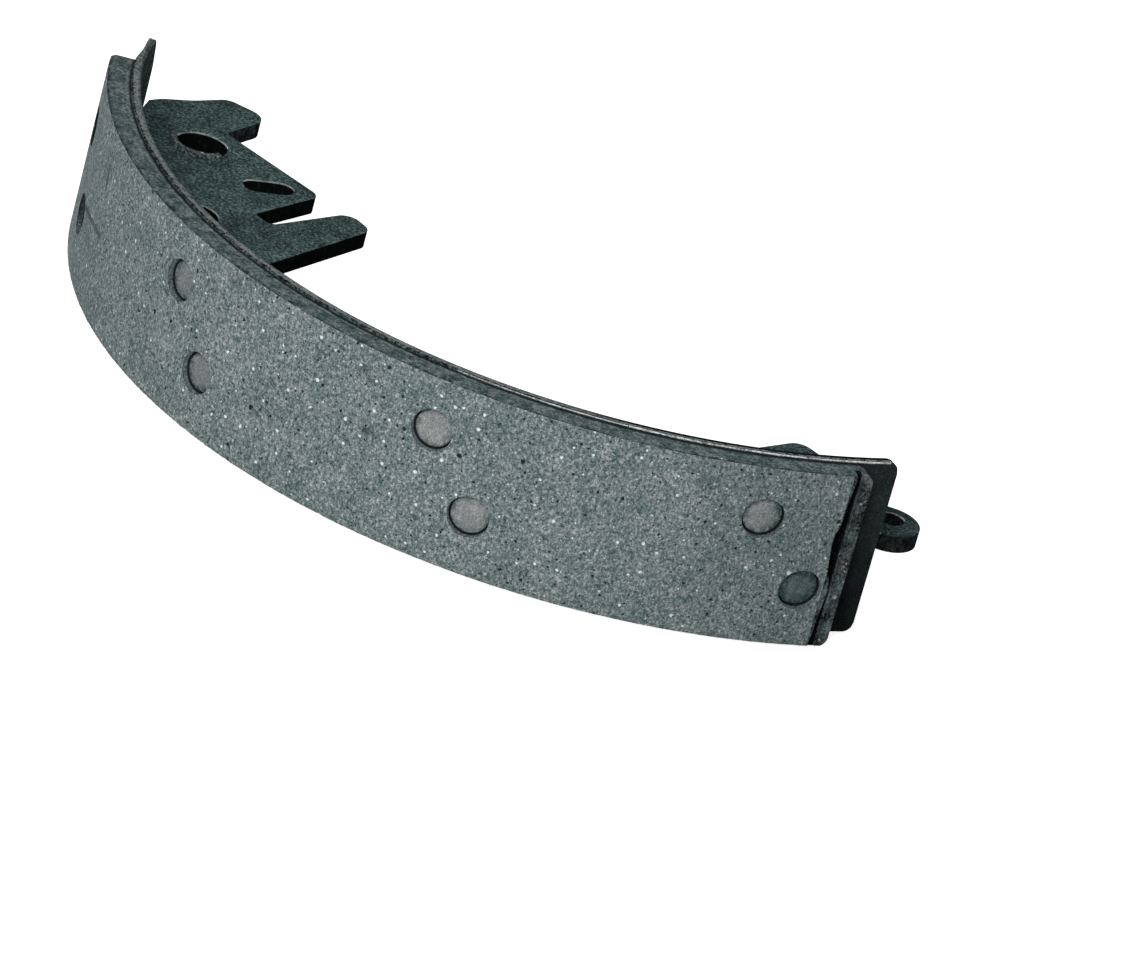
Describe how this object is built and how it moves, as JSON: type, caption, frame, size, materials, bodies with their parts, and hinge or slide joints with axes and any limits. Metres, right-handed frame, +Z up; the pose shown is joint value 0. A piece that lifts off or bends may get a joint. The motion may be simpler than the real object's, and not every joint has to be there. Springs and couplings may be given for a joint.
{
  "type": "brake shoe",
  "caption": "Curved drum brake shoe with a riveted friction lining, a stamped steel web with hook, notch, slot and holes, and a small loop eye at one end.",
  "frame": {"origin": "under the middle of the bounding box, on the plane that the rim's lower edge rests on", "axes": "+X from the hook end towards the eye end, +Y from the lining towards the drum's axis, +Z up along the drum's axis"},
  "size_m": [0.1976, 0.0906, 0.0388],
  "materials": {
    "web_steel": "matte, lightly rusted",
    "rim_steel": "matte, bare burr along its edges",
    "lining": "rough, granular",
    "rivet_metal": "dull",
    "weld_steel": "rough"
  },
  "bodies": {
    "root": {"web_hook_plate": "web_steel", "web_middle": "web_steel", "web_eye_plate": "web_steel", "rim": "rim_steel", "lining": "lining", "lining_rivets": "rivet_metal", "weld_lumps": "weld_steel"}
  },
  "joints": []
}
